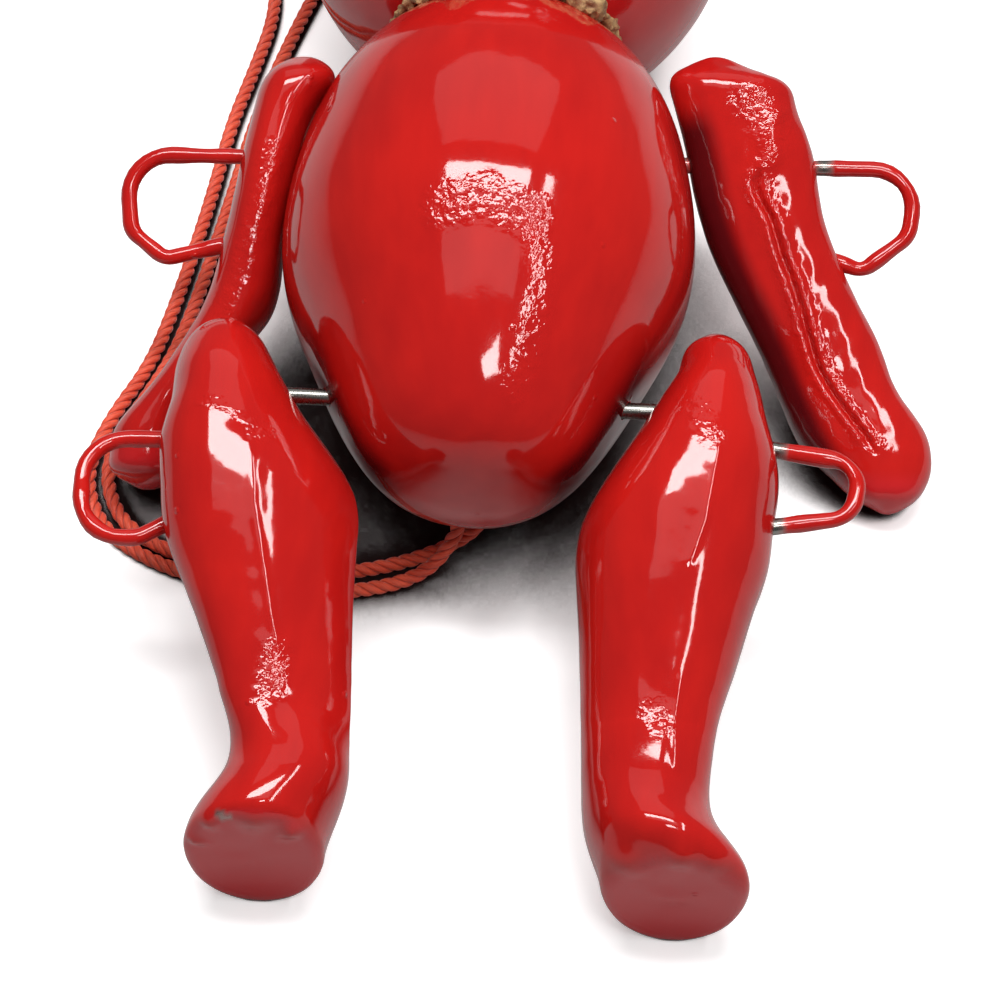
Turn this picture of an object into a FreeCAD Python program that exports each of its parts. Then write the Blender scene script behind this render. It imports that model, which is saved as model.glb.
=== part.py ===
"""Pull-string jumping jack: a lacquered wooden doll whose arms and legs swing on two bent wires.

The doll lies on its back. +X is the picture's right, +Y runs towards the head, +Z comes up out of the
chest, and the table is z = 0. Everything is modelled about the middle of the body and placed at the end.
Lengths are millimetres and angles are degrees.
"""

import FreeCAD, Part
import math
import os

V = FreeCAD.Vector

# ---- body: an egg turned about the Y axis ----
body_radius = 22.4          # at the widest ring
body_foot = 30.2            # middle of the body to its lower tip
neck_height = 28.6          # middle of the body to the flat that the head is glued on
neck_flat_radius = 13.6
# turned outline below and above the widest ring: (distance from it, how much slimmer), as a gouge leaves it
tail_rings = [(29.3, 15.4), (27.0, 11.8), (23.0, 9.3), (18.0, 7.0), (12.0, 4.2), (6.0, 1.1)]
chest_rings = [(6.0, 0.2), (12.0, 0.9), (18.0, 2.4), (23.0, 4.6), (26.6, 6.9)]

# ---- head: a ball with a flat under it ----
head_radius = 25.0
head_flat_depth = 2.2       # the flat cuts this much off the ball
head_height = neck_height + head_radius - head_flat_depth

# ---- neck: a dowel in two blind holes, and a bead of glue ----
dowel_radius = 4.0
dowel_in_body = 5.0
dowel_in_head = 10.0
dowel_clearance = 0.05
glue_setback = 1.3          # the bead ends this far inside the neck's rim
glue_radius = neck_flat_radius - glue_setback
glue_height = 1.6

# ---- the two wires ----
wire_radius = 0.9
wire_clearance = 0.1        # round a wire that turns in the body
grip_clearance = 0.02       # round a wire that its limb is fixed on
wire_bend = 1.7             # radius of the small bends, to the middle of the wire
crank_radius = 5.5          # axle to crank pin
crank_half_width = 2.9      # middle of the crank pin to each of its arms
shoulder_y = 15.0
shoulder_skew = 1.7         # the shoulder hole is drilled this far out of square
hip_y = -18.3
left_hip_step = 5.6         # the hip wire leaves each leg this far below the axle
right_hip_step = 3.4

# ---- slot in the back of the body, for the two cranks ----
slot_half_width = 4.4
slot_side_room = 2.9        # past the shoulder axle, and above the crank at the far end of its swing
slot_foot = -26.7
slot_roof = 1.9
cut_margin = 1.0            # a cutting tool runs this far past what it cuts

# the body lies on the two lips of its slot, and the head on the same table
axle_height = math.sqrt(body_radius ** 2 - slot_half_width ** 2)
head_rise = head_radius - axle_height
dowel_rise = head_rise / 2

# ---- cords ----
cord_diameter = 1.6
pin_clearance = 0.1         # between a crank pin and the cord's eye round it
eye_thickness = 1.6
tail_gap = 0.35             # from the moving eye to the cord's tail
tail_rise = 2.6             # the tail goes on straight from the slot's mouth this far
tail_bend = 0.9
knot_run = V(0, -0.9, -0.3)  # the tail's last run, away from the eye
knot_bend = 0.3

loose_cord = ("pull_cord", "cord_tail")

# ---- limbs: how they lie, below the line towards the feet ----
left_arm_slope = 29.2
right_arm_slope = 31.6
leg_slope = 11.8

# Sections of a limb: (distance down the limb from its axle, middle in X, half width in X,
# half depth, offset of the middle in depth). X is counted outwards from the middle of the body.
left_arm_sections = [
    (-10.4, 21.4, 2.6, 3.0, 0.0), (-9.3, 21.6, 3.6, 4.9, 0.0), (-6.2, 22.9, 3.7, 6.1, 0.0),
    (-1.0, 24.4, 3.3, 6.5, 0.0), (4.5, 25.4, 3.3, 6.6, 0.0), (10.0, 26.4, 3.4, 6.5, 0.0),
    (15.5, 27.4, 3.8, 6.2, 0.0), (19.5, 29.3, 3.8, 5.8, 0.0), (23.4, 32.4, 3.1, 5.5, 0.0),
    (27.5, 35.4, 3.1, 5.5, 0.0), (31.0, 37.1, 4.0, 5.9, 0.0), (33.8, 37.4, 4.1, 5.9, 0.0),
    (35.6, 37.4, 3.6, 5.2, 0.0), (36.4, 37.3, 2.4, 3.8, 0.0),
]
right_arm_sections = [
    (-10.9, 24.2, 3.6, 1.8, 0.0), (-9.8, 25.0, 5.8, 3.2, 0.0), (-7.2, 26.1, 6.8, 3.9, 0.0),
    (-2.0, 27.8, 7.0, 4.1, 0.0), (4.0, 29.0, 6.9, 4.1, 0.0), (8.0, 30.2, 6.9, 4.1, 0.0),
    (13.0, 32.4, 6.9, 4.0, 0.0), (20.5, 36.2, 6.8, 3.9, 0.0), (25.0, 38.2, 6.8, 4.0, 0.0),
    (28.5, 40.2, 7.3, 4.4, 0.0), (31.5, 41.6, 6.9, 4.5, 0.0), (34.4, 43.0, 5.2, 4.2, 0.0),
    (36.6, 43.6, 3.2, 3.2, 0.0), (37.4, 43.8, 1.8, 2.0, 0.0),
]
left_leg_sections = [
    (-7.8, 26.8, 1.6, 2.2, 0.0), (-6.5, 26.8, 3.3, 4.4, 0.0), (-3.8, 26.6, 4.9, 6.6, 0.0),
    (-0.5, 25.8, 6.0, 8.2, 0.0), (3.2, 24.5, 7.1, 9.0, 0.0), (7.0, 23.2, 8.7, 9.3, 0.0),
    (11.7, 21.6, 9.8, 9.3, 0.0), (16.5, 21.0, 9.7, 9.0, 0.0), (23.4, 19.5, 8.3, 8.0, 0.0),
    (30.0, 17.8, 6.9, 7.0, 0.0), (35.0, 16.7, 6.1, 6.4, 0.0), (39.0, 16.4, 6.0, 6.3, 0.0),
    (42.2, 16.7, 6.4, 6.9, -0.4), (45.2, 18.0, 7.0, 8.3, -1.2), (48.0, 19.2, 7.2, 9.2, -2.0),
    (50.4, 19.5, 7.2, 9.45, -2.2), (53.0, 19.5, 6.8, 9.05, -2.2),
]
right_leg_sections = [
    (-8.4, 25.0, 1.6, 2.2, 0.0), (-7.0, 25.0, 3.2, 4.4, 0.0), (-4.4, 25.1, 4.1, 6.4, 0.0),
    (-1.6, 24.8, 5.2, 7.9, 0.0), (1.5, 24.3, 6.4, 8.8, 0.0), (4.4, 23.9, 7.6, 9.2, 0.0),
    (9.0, 22.8, 9.2, 9.4, 0.0), (13.0, 21.7, 9.9, 9.3, 0.0), (17.0, 21.3, 10.0, 8.9, 0.0),
    (21.6, 20.9, 9.2, 8.4, 0.0), (28.5, 20.3, 8.0, 7.4, 0.0), (34.6, 19.7, 7.0, 6.6, 0.0),
    (39.6, 19.6, 6.6, 6.4, 0.0), (43.0, 19.7, 6.5, 6.9, -0.3), (46.2, 20.6, 7.0, 8.6, -0.6),
    (48.6, 22.0, 7.6, 9.55, -1.0), (50.8, 22.9, 7.6, 9.55, -1.5), (52.6, 23.0, 7.3, 8.9, -2.2),
    (55.0, 23.0, 6.3, 7.65, -3.4),
]
left_sole_y = -67.0         # both soles are sawn square to the doll
right_sole_y = -69.1

# ---- hanging loops: corners (out from the body's middle, down the limb, bend radius) after the wire
# leaves the limb, and the tip that is pushed back into it ----
left_shoulder_loop = [(40.9, 0.0, 4.6), (40.0, 8.6, 2.6), (36.2, 11.6, 2.0)]
left_shoulder_tip = (29.5, 9.9)
right_shoulder_loop = [(46.6, 0.0, 4.4), (45.6, 7.4, 3.0), (40.6, 11.3, 2.0)]
right_shoulder_tip = (34.6, 9.2)
left_hip_loop = [(40.9, 6.0, 4.6), (40.2, 17.2, 4.6), (34.2, 17.0, 3.0)]
left_hip_tip = (28.6, 13.6)
right_hip_loop = [(40.6, 4.9, 3.0), (39.7, 11.0, 3.0)]
right_hip_tip = (28.4, 13.0)
# where each leg's wire turns down from the axle and where it turns out again, inside the leg
left_hip_turns = (21.6, 29.4)
right_hip_turns = (21.0, 28.8)

# ---- pull cord: one length laid double, from the slot round the hand to its far bend and back. The
# points are the outer strand's, out, then the inner strand's, back: (X, Y, height over the table) ----
lying = cord_diameter / 2
pull_cord_route = [
    (-1.1, -22.6, 12.6), (-1.3, -22.9, 8.6), (-2.2, -24.0, 4.8), (-4.8, -26.0, 1.7), (-8.8, -27.7, lying),
    (-15.0, -29.0, lying), (-22.0, -29.1, lying), (-29.0, -28.1, lying), (-36.0, -25.7, lying),
    (-41.6, -21.6, lying), (-44.0, -14.6, lying), (-42.0, -7.0, lying), (-38.4, 0.6, lying),
    (-36.7, 8.6, lying), (-35.2, 17.6, lying), (-33.9, 27.0, lying), (-32.9, 36.9, lying),
    (-31.0, 45.7, lying), (-29.4, 54.6, lying), (-30.2, 62.0, lying), (-31.4, 69.0, lying),
    (-26.4, 73.6, lying), (-21.6, 69.0, lying), (-23.6, 62.2, lying), (-25.9, 55.0, lying),
    (-28.3, 46.0, lying), (-30.2, 37.0, lying), (-31.5, 27.2, lying), (-32.9, 17.8, lying),
    (-34.4, 8.8, lying), (-36.2, 1.0, lying), (-39.8, -7.0, lying), (-41.9, -14.0, lying),
    (-39.6, -20.6, lying), (-34.6, -24.2, lying), (-28.6, -26.1, lying), (-21.8, -27.0, lying),
    (-14.8, -26.5, lying), (-8.4, -24.9, lying), (-3.2, -23.0, 1.7), (0.2, -22.4, 4.8),
    (1.1, -22.4, 8.6), (1.1, -22.6, 12.6),
]


def spun(profile):
    """A closed profile of points in the XY plane's half X > 0, turned about Y."""
    return Part.Face(profile).revolve(V(0, 0, 0), V(0, 1, 0), 360)


def ball(radius, centre):
    return Part.makeSphere(radius, centre)


def rod(radius, start, end):
    return Part.makeCylinder(radius, (end - start).Length, start, end - start)


def tube_path(points, radii):
    """Straight runs through the points, joined by tangent arcs of the given radii."""
    edges = []
    here = points[0]
    for before, corner, after, radius in zip(points, points[1:], points[2:], radii):
        back = (before - corner).normalize()
        on = (after - corner).normalize()
        half_turn = (math.pi - back.getAngle(on)) / 2
        reach = radius * math.tan(half_turn)
        first = corner + back * reach
        last = corner + on * reach
        inward = (back + on).normalize()
        middle = corner + inward * (radius / math.cos(half_turn) - radius)
        edges.append(Part.LineSegment(here, first).toShape())
        edges.append(Part.Arc(first, middle, last).toShape())
        here = last
    edges.append(Part.LineSegment(here, points[-1]).toShape())
    return Part.Wire(edges)


def tube(points, radii, radius):
    """A round bar along the path; the second value is its volume over section times length."""
    path = tube_path(points, radii)
    ring = Part.Wire(Part.Circle(points[0], points[1] - points[0], radius).toShape())
    solid = path.makePipeShell([ring], True, False)
    return solid, solid.Volume / (math.pi * radius ** 2 * path.Length), path.Length


def limb_point(out, down, depth, axle_y, slope):
    """A point of a limb, from its place down the limb and its depth towards the front."""
    angle = math.radians(slope)
    return V(out, axle_y - down * math.cos(angle) - depth * math.sin(angle),
             -down * math.sin(angle) + depth * math.cos(angle))


def oval(centre, half_width, half_depth, across):
    """An ellipse in the plane of X and across, always begun on its +X side, so that ovals loft untwisted."""
    out = V(1, 0, 0)
    along = out.cross(across)
    squeeze = FreeCAD.Matrix(out.x * half_width, across.x * half_depth, along.x, centre.x,
                             out.y * half_width, across.y * half_depth, along.y, centre.y,
                             out.z * half_width, across.z * half_depth, along.z, centre.z)
    return Part.Wire(Part.Circle().toShape()).transformGeometry(squeeze)


def limb(sections, side, axle_y, slope):
    """A carved limb lofted through its oval sections; side is -1 on the left and 1 on the right."""
    across = limb_point(0, 0, 1, 0, slope)
    rings = []
    for down, middle, half_width, half_depth, offset in sections:
        centre = limb_point(side * middle, down, offset, axle_y, slope)
        rings.append(oval(centre, half_width, half_depth, across))
    return Part.makeLoft(rings, True, False)


def sawn(leg, sole_y):
    """A leg without what lies past its flat sole."""
    size = 4 * head_radius
    return leg.cut(Part.makeBox(size, size, size, V(-size / 2, sole_y - size, -size / 2)))


def skewed(shape):
    """The arms and their wire turn with the hole that is drilled out of square."""
    return shape.rotate(V(0, shoulder_y, 0), V(0, 0, 1), shoulder_skew)


def limb_wire(axle_y, crank_out, ends):
    """One side's points and bend radii of a limb wire, from its tip to the middle of the crank."""
    side, slope, tip, loop, step, turns = ends
    points = [limb_point(side * tip[0], tip[1], 0, axle_y, slope)]
    radii = []
    for out, down, radius in reversed(loop):
        points.append(limb_point(side * out, down, 0, axle_y, slope))
        radii.append(radius)
    if step:
        turn_down, turn_out = turns
        points.append(limb_point(side * turn_out, step, 0, axle_y, slope))
        points.append(V(side * turn_down, axle_y, 0))
        radii += [wire_bend, wire_bend]
    points.append(V(side * crank_half_width, axle_y, 0))
    points.append(V(side * crank_half_width, axle_y, -crank_out))
    radii += [wire_bend, wire_bend]
    return points, radii


def bent_wire(axle_y, left, right):
    """The whole wire: left tip, loop, limb, crank, limb, loop and right tip, in one piece."""
    left_points, left_radii = limb_wire(axle_y, crank_radius, left)
    right_points, right_radii = limb_wire(axle_y, crank_radius, right)
    points = left_points + right_points[::-1]
    radii = left_radii + right_radii[::-1]
    return points, radii


def shoulder_points():
    left = (-1, left_arm_slope, left_shoulder_tip, left_shoulder_loop, 0, None)
    right = (1, right_arm_slope, right_shoulder_tip, right_shoulder_loop, 0, None)
    return bent_wire(shoulder_y, left, right)


def hip_points():
    left = (-1, leg_slope, left_hip_tip, left_hip_loop, left_hip_step, left_hip_turns)
    right = (1, leg_slope, right_hip_tip, right_hip_loop, right_hip_step, right_hip_turns)
    return bent_wire(hip_y, left, right)


def body_solid():
    """The egg, less its slot, its two wire holes and the dowel's blind hole."""
    foot = V(0, -body_foot, 0)
    widest = V(body_radius, 0, 0)
    neck_rim = V(neck_flat_radius, neck_height, 0)
    neck_centre = V(0, neck_height, 0)
    tail = Part.BSplineCurve()
    tail.interpolate([foot] + [V(body_radius - slimmer, -down, 0) for down, slimmer in tail_rings] + [widest],
                     InitialTangent=V(1, 0, 0), FinalTangent=V(0, 1, 0))
    chest = Part.BSplineCurve()
    chest.interpolate([widest] + [V(body_radius - slimmer, up, 0) for up, slimmer in chest_rings] + [neck_rim],
                      InitialTangent=V(0, 1, 0), FinalTangent=V(-1, 1, 0))
    flat = Part.LineSegment(neck_rim, neck_centre).toShape()
    axis = Part.LineSegment(neck_centre, foot).toShape()
    egg = spun(Part.Wire([tail.toShape(), chest.toShape(), flat, axis]))
    slot_top = shoulder_y + slot_side_room
    slot_depth = body_radius + cut_margin
    slot = Part.makeBox(2 * slot_half_width, slot_top - slot_foot, slot_depth + slot_roof,
                        V(-slot_half_width, slot_foot, -slot_depth))
    hole = wire_radius + wire_clearance
    shoulder_hole = skewed(rod(hole, V(-body_radius, shoulder_y, 0), V(body_radius, shoulder_y, 0)))
    hip_hole = rod(hole, V(-body_radius, hip_y, 0), V(body_radius, hip_y, 0))
    return egg.cut([slot, shoulder_hole, hip_hole, dowel_hole()])


def dowel_hole():
    return rod(dowel_radius + dowel_clearance, V(0, neck_height - dowel_in_body, dowel_rise),
               V(0, neck_height + dowel_in_head, dowel_rise))


def head_ball():
    above_neck = Part.makeBox(4 * head_radius, 4 * head_radius, 4 * head_radius,
                              V(-2 * head_radius, neck_height, -2 * head_radius))
    return ball(head_radius, V(0, head_height, head_rise)).common(above_neck)


def head_solid():
    return head_ball().cut(dowel_hole())


def dowel_solid():
    return rod(dowel_radius, V(0, neck_height - dowel_in_body + dowel_clearance, dowel_rise),
               V(0, neck_height + dowel_in_head - dowel_clearance, dowel_rise))


def glue_solid():
    """The bead that is left in the wedge between the body's flat and the ball."""
    bead = rod(glue_radius, V(0, neck_height, dowel_rise), V(0, neck_height + glue_height, dowel_rise))
    return bead.cut([head_ball(), dowel_hole()])


def eye(axle_y):
    """The loop of cord that is tied round a crank pin."""
    inner = wire_radius + pin_clearance
    centre = V(0, axle_y, -crank_radius)
    ring = Part.makeTorus(inner + eye_thickness / 2, eye_thickness / 2, centre, V(1, 0, 0))
    return ring


def drive_cord_solid():
    """The straight cord between the two eyes."""
    reach = wire_radius + pin_clearance + eye_thickness / 2
    start = V(0, hip_y + reach, -crank_radius)
    end = V(0, shoulder_y - reach, -crank_radius)
    strand = rod(cord_diameter / 2, start, end)
    return strand.cut([eye(hip_y), eye(shoulder_y)])


def cord_tail_solid():
    """The two strands from the hip eye to where the pull cord begins, at the mouth of the slot."""
    eye_edge = wire_radius + pin_clearance + eye_thickness + tail_gap
    strands = []
    for strand in (0, -1):
        x, y, height = pull_cord_route[strand]
        mouth = V(x, y, height - axle_height)
        next_x, next_y, next_height = pull_cord_route[1 if strand == 0 else -2]
        beyond = V(next_x, next_y, next_height - axle_height)
        lift = mouth + (mouth - beyond).normalize() * tail_rise
        knot_side = V(x, hip_y - eye_edge, -crank_radius)
        points = [mouth, lift, knot_side + knot_run, knot_side]
        strands.append(tube(points, [tail_bend, knot_bend], cord_diameter / 2)[0])
    return strands


def pull_cord_solid():
    points = [V(x, y, height - axle_height) for x, y, height in pull_cord_route]
    runs = [(b - a).Length for a, b in zip(points, points[1:])]
    radii = []
    for n in range(1, len(points) - 1):
        back = points[n - 1] - points[n]
        half_turn = (math.pi - back.getAngle(points[n + 1] - points[n])) / 2
        radii.append(0.45 * min(runs[n - 1], runs[n]) / math.tan(half_turn))
    solid, ratio, length = tube(points, radii, cord_diameter / 2)
    print("pull cord length %.1f, volume over section x length %.4f" % (length, ratio))
    print("pull cord bend radii", " ".join("%.1f" % radius for radius in radii))
    return solid


def wire_solid(points, radii, name):
    solid, ratio, length = tube(points, radii, wire_radius)
    print("%s length %.1f, volume over section x length %.4f" % (name, length, ratio))
    return solid


def placed(doll):
    """Where the middle of the body stands, so that the doll without its loose cord is centred on the origin."""
    box = doll.optimalBoundingBox(False, False)
    return V(-box.Center.x, -box.Center.y, axle_height)


def solids():
    shoulder_wire_points, shoulder_radii = shoulder_points()
    hip_wire_points, hip_radii = hip_points()
    shoulder_wire = wire_solid(shoulder_wire_points, shoulder_radii, "shoulder wire")
    hip_wire = wire_solid(hip_wire_points, hip_radii, "hip wire")
    grip = wire_radius + grip_clearance
    shoulder_grip = tube(shoulder_wire_points, shoulder_radii, grip)[0]
    hip_grip = tube(hip_wire_points, hip_radii, grip)[0]
    left_arm = limb(left_arm_sections, -1, shoulder_y, left_arm_slope)
    right_arm = limb(right_arm_sections, 1, shoulder_y, right_arm_slope)
    left_leg = sawn(limb(left_leg_sections, -1, hip_y, leg_slope), left_sole_y)
    right_leg = sawn(limb(right_leg_sections, 1, hip_y, leg_slope), right_sole_y)
    tails = cord_tail_solid()
    return {
        "body": body_solid(),
        "head": head_solid(),
        "neck_dowel": dowel_solid(),
        "neck_glue": glue_solid(),
        "shoulder_wire": skewed(shoulder_wire),
        "left_arm": skewed(left_arm.cut(shoulder_grip)),
        "right_arm": skewed(right_arm.cut(shoulder_grip)),
        "hip_wire": hip_wire,
        "left_leg": left_leg.cut(hip_grip),
        "right_leg": right_leg.cut(hip_grip),
        "shoulder_eye": eye(shoulder_y),
        "hip_eye": eye(hip_y),
        "drive_cord": drive_cord_solid(),
        "cord_tail": Part.makeCompound(tails),
        "pull_cord": pull_cord_solid(),
    }


os.makedirs("parts", exist_ok=True)
shapes = solids()
place = placed(Part.makeCompound([shape for name, shape in shapes.items() if name not in loose_cord]))
print("middle of the body stands at", tuple(round(value, 4) for value in place))
for name, shape in shapes.items():
    shape.translate(place)
    shape.exportStep("parts/%s.step" % name)
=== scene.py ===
"""Looks of the pull-string jumping jack: thick red lacquer over carved wood, bent wires and a twisted cord.

Shapes are worked out in millimetres about the middle of the body, where the carver would measure them, and
are moved to the frame of the solids, in metres, when their mesh is made.
"""

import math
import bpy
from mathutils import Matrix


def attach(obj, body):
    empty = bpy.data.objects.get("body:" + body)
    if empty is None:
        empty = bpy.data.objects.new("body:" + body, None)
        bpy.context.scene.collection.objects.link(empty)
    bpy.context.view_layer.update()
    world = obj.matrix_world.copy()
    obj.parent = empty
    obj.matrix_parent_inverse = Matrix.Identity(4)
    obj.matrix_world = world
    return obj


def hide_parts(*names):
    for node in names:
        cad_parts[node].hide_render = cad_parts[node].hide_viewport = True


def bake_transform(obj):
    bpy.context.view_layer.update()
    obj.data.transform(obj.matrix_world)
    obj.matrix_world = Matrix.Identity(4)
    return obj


bl_info = {
    "name": "Pull-String Jumping Jack",
    "version": (1, 0, 0),
    "blender": (4, 5, 0),
    "location": "3D View > Sidebar > Jumping Jack",
    "description": "Builds the lacquered doll, its wires, its cord and a small studio",
    "category": "Object",
}

import bpy
import numpy as np
from mathutils import Matrix

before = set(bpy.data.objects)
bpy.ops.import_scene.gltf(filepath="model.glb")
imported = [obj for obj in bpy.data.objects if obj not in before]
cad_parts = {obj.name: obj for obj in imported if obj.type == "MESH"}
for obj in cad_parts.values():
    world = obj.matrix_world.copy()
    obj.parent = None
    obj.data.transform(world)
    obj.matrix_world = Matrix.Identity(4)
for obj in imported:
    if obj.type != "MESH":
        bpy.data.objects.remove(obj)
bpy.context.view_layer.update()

MM = 0.001
MIDDLE = np.array([-3.9213, -3.65, 21.9636])    # the middle of the body, in the frame of the solids
HEAD_UP = 3.0364                                # the head's middle lies this far above the body's
SHOULDER_Y, HIP_Y = 15.0, -18.3
SKEW = math.radians(1.7)                        # the shoulder hole is drilled this far out of square
LEFT_ARM_SLOPE, RIGHT_ARM_SLOPE, LEG_SLOPE = 29.2, 31.6, 11.8
WIRE_RADIUS = 0.9
PLAY = 0.1                                      # the wires' holes and the cord's eyes are this much wider
CRANK, CRANK_HALF, CRANK_BEND = 5.5, 2.9, 1.7   # throw, half width and bend radius of the cranks
CORD = 1.6
STRAND, STRAND_OUT, PITCH = 0.42, 0.40, 4.3     # a strand's radius, its distance from the cord's line, its pitch
FIBRES = 3                                      # the fibre pattern's width goes into a strand's girth this often
NECK_Y, HEAD_RISE, HEAD_RADIUS = 28.6, 51.4, 25.0
SLOT = ((-4.4, -26.7, -24.0), (4.4, 17.9, 1.9))  # two corners of the slot in the back
SUNK = 0.03                                     # the skins lie this deep, so that the film's waves stay in the solids

CAMERA_FOCAL = 3703.0                           # in pixels of a picture 1000 pixels wide
BODY_PIXEL = (487, 268)                         # where the picture holds the body's middle
SENSOR = 36.0
# lamps: (name, swing, lift, distance, width, height, share of the lamp power), with angles in degrees and metres
LAMPS = [
    ("window above", 0, 83.5, 0.75, 0.56, 0.16, 2.5),
    ("bright wall above", 180, 86.5, 0.78, 0.66, 0.18, 0.16),
    ("window beside", 98, 58, 0.75, 0.46, 0.05, 0.60),
    ("window in front", 155, 63, 0.75, 0.16, 0.10, 0.45),
    ("pale wall behind", 0, 47, 0.75, 0.66, 0.50, 0.26),
]

# turned outline of the body: (radius, along Y)
BODY = [
    (0, -30.2), (6.6, -29.3), (10.4, -27.0), (13.4, -23.0), (16.0, -18.0), (18.6, -12.0), (21.0, -6.0), (22.3, 0),
    (22.3, 6.0), (21.5, 12.0), (20.0, 18.0), (17.7, 23.0), (15.2, 26.6), (13.3, 28.6),
]

# sections of the limbs: (down the limb, middle in X, half width, half depth, and offset in depth unless it is 0)
LEFT_ARM = [
    (-10.4, 21.4, 2.6, 3.0), (-9.3, 21.6, 3.6, 4.9), (-6.2, 22.9, 3.7, 6.1), (-1.0, 24.4, 3.3, 6.5),
    (4.5, 25.4, 3.3, 6.6), (10.0, 26.4, 3.4, 6.5), (15.5, 27.4, 3.8, 6.2), (19.5, 29.3, 3.8, 5.8),
    (23.4, 32.4, 3.1, 5.5), (27.5, 35.4, 3.1, 5.5), (31.0, 37.1, 4.0, 5.9), (33.8, 37.4, 4.1, 5.9),
    (35.6, 37.4, 3.6, 5.2), (36.4, 37.3, 2.4, 3.8),
]
RIGHT_ARM = [
    (-10.9, 24.2, 3.6, 1.8), (-9.8, 25.0, 5.8, 3.2), (-7.2, 26.1, 6.8, 3.9), (-2.0, 27.8, 7.0, 4.1),
    (4.0, 29.0, 6.9, 4.1), (8.0, 30.2, 6.9, 4.1), (13.0, 32.4, 6.9, 4.0), (20.5, 36.2, 6.8, 3.9),
    (25.0, 38.2, 6.8, 4.0), (28.5, 40.2, 7.3, 4.4), (31.5, 41.6, 6.9, 4.5), (34.4, 43.0, 5.2, 4.2),
    (36.6, 43.6, 3.2, 3.2), (37.4, 43.8, 1.8, 2.0),
]
LEFT_LEG = [
    (-7.8, 26.8, 1.6, 2.2), (-6.5, 26.8, 3.3, 4.4), (-3.8, 26.6, 4.9, 6.6), (-0.5, 25.8, 6.0, 8.2),
    (3.2, 24.5, 7.1, 9.0), (7.0, 23.2, 8.7, 9.3), (11.7, 21.6, 9.8, 9.3), (16.5, 21.0, 9.7, 9.0),
    (23.4, 19.5, 8.3, 8.0), (30.0, 17.8, 6.9, 7.0), (35.0, 16.7, 6.1, 6.4), (39.0, 16.4, 6.0, 6.3),
    (42.2, 16.7, 6.4, 6.9, -0.4), (45.2, 18.0, 7.0, 8.3, -1.2), (48.0, 19.2, 7.2, 9.2, -2.0),
    (50.4, 19.5, 7.2, 9.45, -2.2), (53.0, 19.5, 6.8, 9.05, -2.2),
]
RIGHT_LEG = [
    (-8.4, 25.0, 1.6, 2.2), (-7.0, 25.0, 3.2, 4.4), (-4.4, 25.1, 4.1, 6.4), (-1.6, 24.8, 5.2, 7.9),
    (1.5, 24.3, 6.4, 8.8), (4.4, 23.9, 7.6, 9.2), (9.0, 22.8, 9.2, 9.4), (13.0, 21.7, 9.9, 9.3),
    (17.0, 21.3, 10.0, 8.9), (21.6, 20.9, 9.2, 8.4), (28.5, 20.3, 8.0, 7.4), (34.6, 19.7, 7.0, 6.6),
    (39.6, 19.6, 6.6, 6.4), (43.0, 19.7, 6.5, 6.9, -0.3), (46.2, 20.6, 7.0, 8.6, -0.6),
    (48.6, 22.0, 7.6, 9.55, -1.0), (50.8, 22.9, 7.6, 9.55, -1.5), (52.6, 23.0, 7.3, 8.9, -2.2),
    (55.0, 23.0, 6.3, 7.65, -3.4),
]
LEFT_SOLE, RIGHT_SOLE = -67.0, -69.1

# loops of the wires: corners (out from the middle, down the limb, bend radius), and where each tip ends
LEFT_SHOULDER_LOOP = [(40.9, 0.0, 4.6), (40.0, 8.6, 2.6), (36.2, 11.6, 2.0)]
RIGHT_SHOULDER_LOOP = [(46.6, 0.0, 4.4), (45.6, 7.4, 3.0), (40.6, 11.3, 2.0)]
LEFT_HIP_LOOP = [(40.9, 6.0, 4.6), (40.2, 17.2, 4.6), (34.2, 17.0, 3.0)]
RIGHT_HIP_LOOP = [(40.6, 4.9, 3.0), (39.7, 11.0, 3.0)]
LEFT_SHOULDER_TIP, RIGHT_SHOULDER_TIP = (29.5, 9.9), (34.6, 9.2)
LEFT_HIP_TIP, RIGHT_HIP_TIP = (28.6, 13.6), (28.4, 13.0)

# where the hip wire steps down inside a leg: (out where it starts, out where it ends, how far down)
LEFT_HIP_TURNS, RIGHT_HIP_TURNS = (21.6, 29.4, 5.6), (21.0, 28.8, 3.4)

# bare metal on the wires, as runs of X
BARE_SHOULDER = ((-19.0, 21.0), (35.4, 36.9))
BARE_HIP = ((-21.5, 21.5), (30.6, 32.6))

# the pull cord, from the slot's mouth to its far bend and back: (X, Y, height over the table)
LYING = CORD / 2
PULL_CORD = [
    (-1.1, -22.6, 12.6), (-1.3, -22.9, 8.6), (-2.2, -24.0, 4.8), (-4.8, -26.0, 1.7),
    *((x, y, LYING) for x, y in (
        (-8.8, -27.7), (-15.0, -29.0), (-22.0, -29.1), (-29.0, -28.1), (-36.0, -25.7), (-41.6, -21.6),
        (-44.0, -14.6), (-42.0, -7.0), (-38.4, 0.6), (-36.7, 8.6), (-35.2, 17.6), (-33.9, 27.0),
        (-32.9, 36.9), (-31.0, 45.7), (-29.4, 54.6), (-30.2, 62.0), (-31.4, 69.0), (-26.4, 73.6),
        (-21.6, 69.0), (-23.6, 62.2), (-25.9, 55.0), (-28.3, 46.0), (-30.2, 37.0), (-31.5, 27.2),
        (-32.9, 17.8), (-34.4, 8.8), (-36.2, 1.0), (-39.8, -7.0), (-41.9, -14.0), (-39.6, -20.6),
        (-34.6, -24.2), (-28.6, -26.1), (-21.8, -27.0), (-14.8, -26.5), (-8.4, -24.9))),
    (-3.2, -23.0, 1.7), (0.2, -22.4, 4.8), (1.1, -22.4, 8.6), (1.1, -22.6, 12.6),
]


# ---------------------------------------------------------------- shapes

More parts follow.
